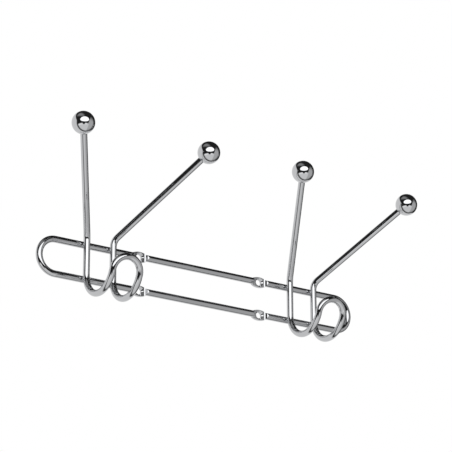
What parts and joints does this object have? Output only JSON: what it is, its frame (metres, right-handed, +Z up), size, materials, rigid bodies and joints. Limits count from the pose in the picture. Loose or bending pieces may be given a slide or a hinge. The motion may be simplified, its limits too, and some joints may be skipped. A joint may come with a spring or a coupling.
{
  "type": "coat hook rail",
  "caption": "Wall coat rail of bright chrome wire: a long loop with pierced screw eyes carries bent hooks with ball-ended prongs above and round arches below.",
  "frame": {"origin": "middle of the four screw eyes, on the wall plane that the rail frame lies against", "axes": "+X along the rails to the right as seen from the room, +Y into the wall, +Z up"},
  "size_m": [0.3151, 0.0889, 0.1247],
  "materials": {
    "chrome_rail": "bright chrome plate",
    "chrome_hook": "bright chrome plate",
    "chrome_ball": "polished chrome plate"
  },
  "bodies": {
    "root": {"rail_frame": "chrome_rail", "left_hook_wire": "chrome_hook", "right_hook_wire": "chrome_hook", "left_outer_ball": "chrome_ball", "left_inner_ball": "chrome_ball", "right_inner_ball": "chrome_ball", "right_outer_ball": "chrome_ball"}
  },
  "joints": []
}
